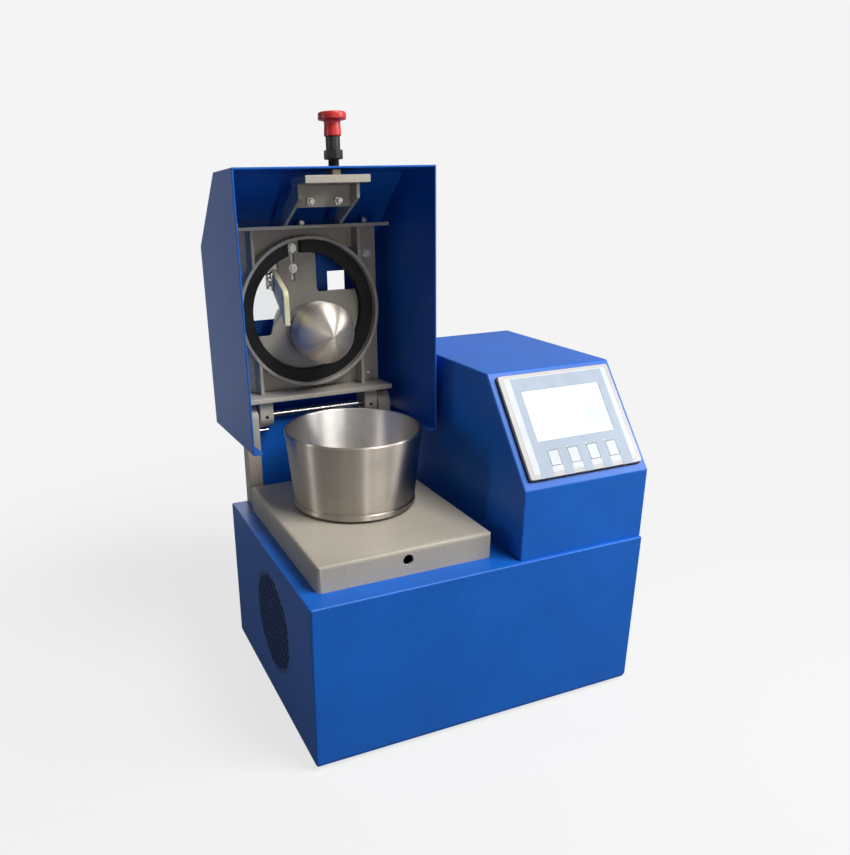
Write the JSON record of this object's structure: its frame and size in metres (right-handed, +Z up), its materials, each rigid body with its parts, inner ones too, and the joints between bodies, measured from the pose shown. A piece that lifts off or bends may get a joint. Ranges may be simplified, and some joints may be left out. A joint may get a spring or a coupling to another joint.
{
  "type": "laboratory mortar grinder",
  "caption": "Bench-top mortar grinder: geared-motor spindle with a steel bowl, swing-up hood carrying pestle and scraper, index-plunger latch and sloping operator panel.",
  "frame": {"origin": "on the bench, under the middle of the bounding box with the hood open", "axes": "+X to the operator's right, +Y to the back, +Z up"},
  "size_m": [0.39, 0.3597, 0.6265],
  "materials": {
    "blue_powder": "satin powder coat",
    "beige_powder": "satin powder coat",
    "turned_steel": "turned",
    "bright_steel": "bright",
    "zinc": "zinc plated",
    "black_steel": "black oxide",
    "olive_zinc": "passivated",
    "aluminium": "machined",
    "black_rubber": "matt",
    "red_plastic": "gloss",
    "cream_plastic": "matt",
    "black_plastic": "matt",
    "grey_plastic": "matt",
    "panel_white": "satin",
    "display_glass": "lit",
    "key_foil": "satin",
    "window_pane": "clear",
    "grille_navy": "satin"
  },
  "bodies": {
    "housing": {"base_housing": "blue_powder", "base_plate": "blue_powder", "rubber_feet": "black_rubber", "foot_screws": "zinc", "vent_grille": "grille_navy", "fan_frame": "black_plastic", "tray": "beige_powder", "bearing_housing": "aluminium", "spindle_bearings": "bright_steel", "drive_belt": "black_rubber", "gearbox": "aluminium", "drive_motor": "aluminium", "motor_bracket": "zinc", "hinge_posts": "beige_powder", "stop_pin": "bright_steel", "rear_guard": "blue_powder", "control_box": "blue_powder", "panel_housing": "grey_plastic", "panel_gasket": "black_rubber", "panel_bezel": "panel_white", "display": "display_glass", "mains_inlet": "black_plastic", "switch_frame": "black_plastic", "motor_drive": "aluminium"},
    "fan": {"fan_rotor": "black_plastic"},
    "spindle": {"spindle": "turned_steel", "bowl_plate": "turned_steel", "driven_pulley": "aluminium"},
    "bowl": {"bowl": "turned_steel"},
    "motor_shaft": {"drive_pulley": "aluminium"},
    "lid": {"hood": "blue_powder", "hood_window": "window_pane", "lid_plate": "beige_powder", "lower_plate": "beige_powder", "cross_plate": "beige_powder", "ring_ribs": "beige_powder", "guard_ring": "beige_powder", "ring_gasket": "black_rubber", "lid_bolts": "zinc", "hinge_knuckles": "beige_powder", "hinge_shaft": "bright_steel", "set_screws": "black_steel", "pestle_housing": "aluminium", "pestle_bearings": "bright_steel", "latch_bracket": "beige_powder", "latch_screws": "zinc", "latch_bar": "beige_powder", "plunger_barrel": "black_steel", "lock_nut": "olive_zinc"},
    "pestle": {"pestle": "turned_steel"},
    "scraper": {"scraper_blade": "cream_plastic", "scraper_carrier": "turned_steel", "scraper_screws": "zinc"},
    "plunger": {"plunger_pin": "bright_steel", "plunger_knob": "red_plastic"},
    "key_1": {"key_1": "key_foil"},
    "key_2": {"key_2": "key_foil"},
    "key_3": {"key_3": "key_foil"},
    "key_4": {"key_4": "key_foil"},
    "rocker": {"switch_rocker": "red_plastic"}
  },
  "joints": [
    {"name": "hood_hinge", "type": "hinge", "parent": "housing", "child": "lid", "pos_m": [-0.08, 0.10415, 0.296], "axis": [1, 0, 0], "range_deg": [0, 92.7]},
    {"name": "plunger_push", "type": "slide", "parent": "lid", "child": "plunger", "axis": [0, -0.0471, -0.9989], "range_m": [0, 0.008]},
    {"name": "pestle_spin", "type": "hinge", "parent": "lid", "child": "pestle", "pos_m": [-0.078, 0.10874, 0.39339], "axis": [0, 0.9989, -0.0471], "continuous": true},
    {"name": "scraper_adjust", "type": "slide", "parent": "lid", "child": "scraper", "axis": [0, -0.0471, -0.9989], "range_m": [0, 0.012]},
    {"name": "spindle_spin", "type": "hinge", "parent": "housing", "child": "spindle", "pos_m": [-0.08, -0.01335, 0.15], "axis": [0, 0, 1], "continuous": true},
    {"name": "motor_spin", "type": "hinge", "parent": "housing", "child": "motor_shaft", "pos_m": [0.07, -0.01335, 0.05], "axis": [0, 0, 1], "continuous": true},
    {"name": "bowl_lift", "type": "slide", "parent": "spindle", "child": "bowl", "axis": [0, 0, -1], "range_m": [-0.04, 0]},
    {"name": "fan_spin", "type": "hinge", "parent": "housing", "child": "fan", "pos_m": [-0.181, -0.04935, 0.105], "axis": [1, 0, 0], "continuous": true},
    {"name": "rocker_tilt", "type": "hinge", "parent": "housing", "child": "rocker", "pos_m": [0.1, 0.10515, 0.055], "axis": [1, 0, 0], "range_deg": [-16, 0]},
    {"name": "key_1_press", "type": "slide", "parent": "housing", "child": "key_1", "axis": [0, 0.7858, -0.6185], "range_m": [0, 0.0008], "stiffness_N_per_m": 600, "springref_m": -0.0002},
    {"name": "key_2_press", "type": "slide", "parent": "housing", "child": "key_2", "axis": [0, 0.7858, -0.6185], "range_m": [0, 0.0008], "stiffness_N_per_m": 600, "springref_m": -0.0002},
    {"name": "key_3_press", "type": "slide", "parent": "housing", "child": "key_3", "axis": [0, 0.7858, -0.6185], "range_m": [0, 0.0008], "stiffness_N_per_m": 600, "springref_m": -0.0002},
    {"name": "key_4_press", "type": "slide", "parent": "housing", "child": "key_4", "axis": [0, 0.7858, -0.6185], "range_m": [0, 0.0008], "stiffness_N_per_m": 600, "springref_m": -0.0002}
  ],
  "couplings": [
    {"joint": "motor_spin", "follows": "spindle_spin", "ratio": 2.4}
  ]
}
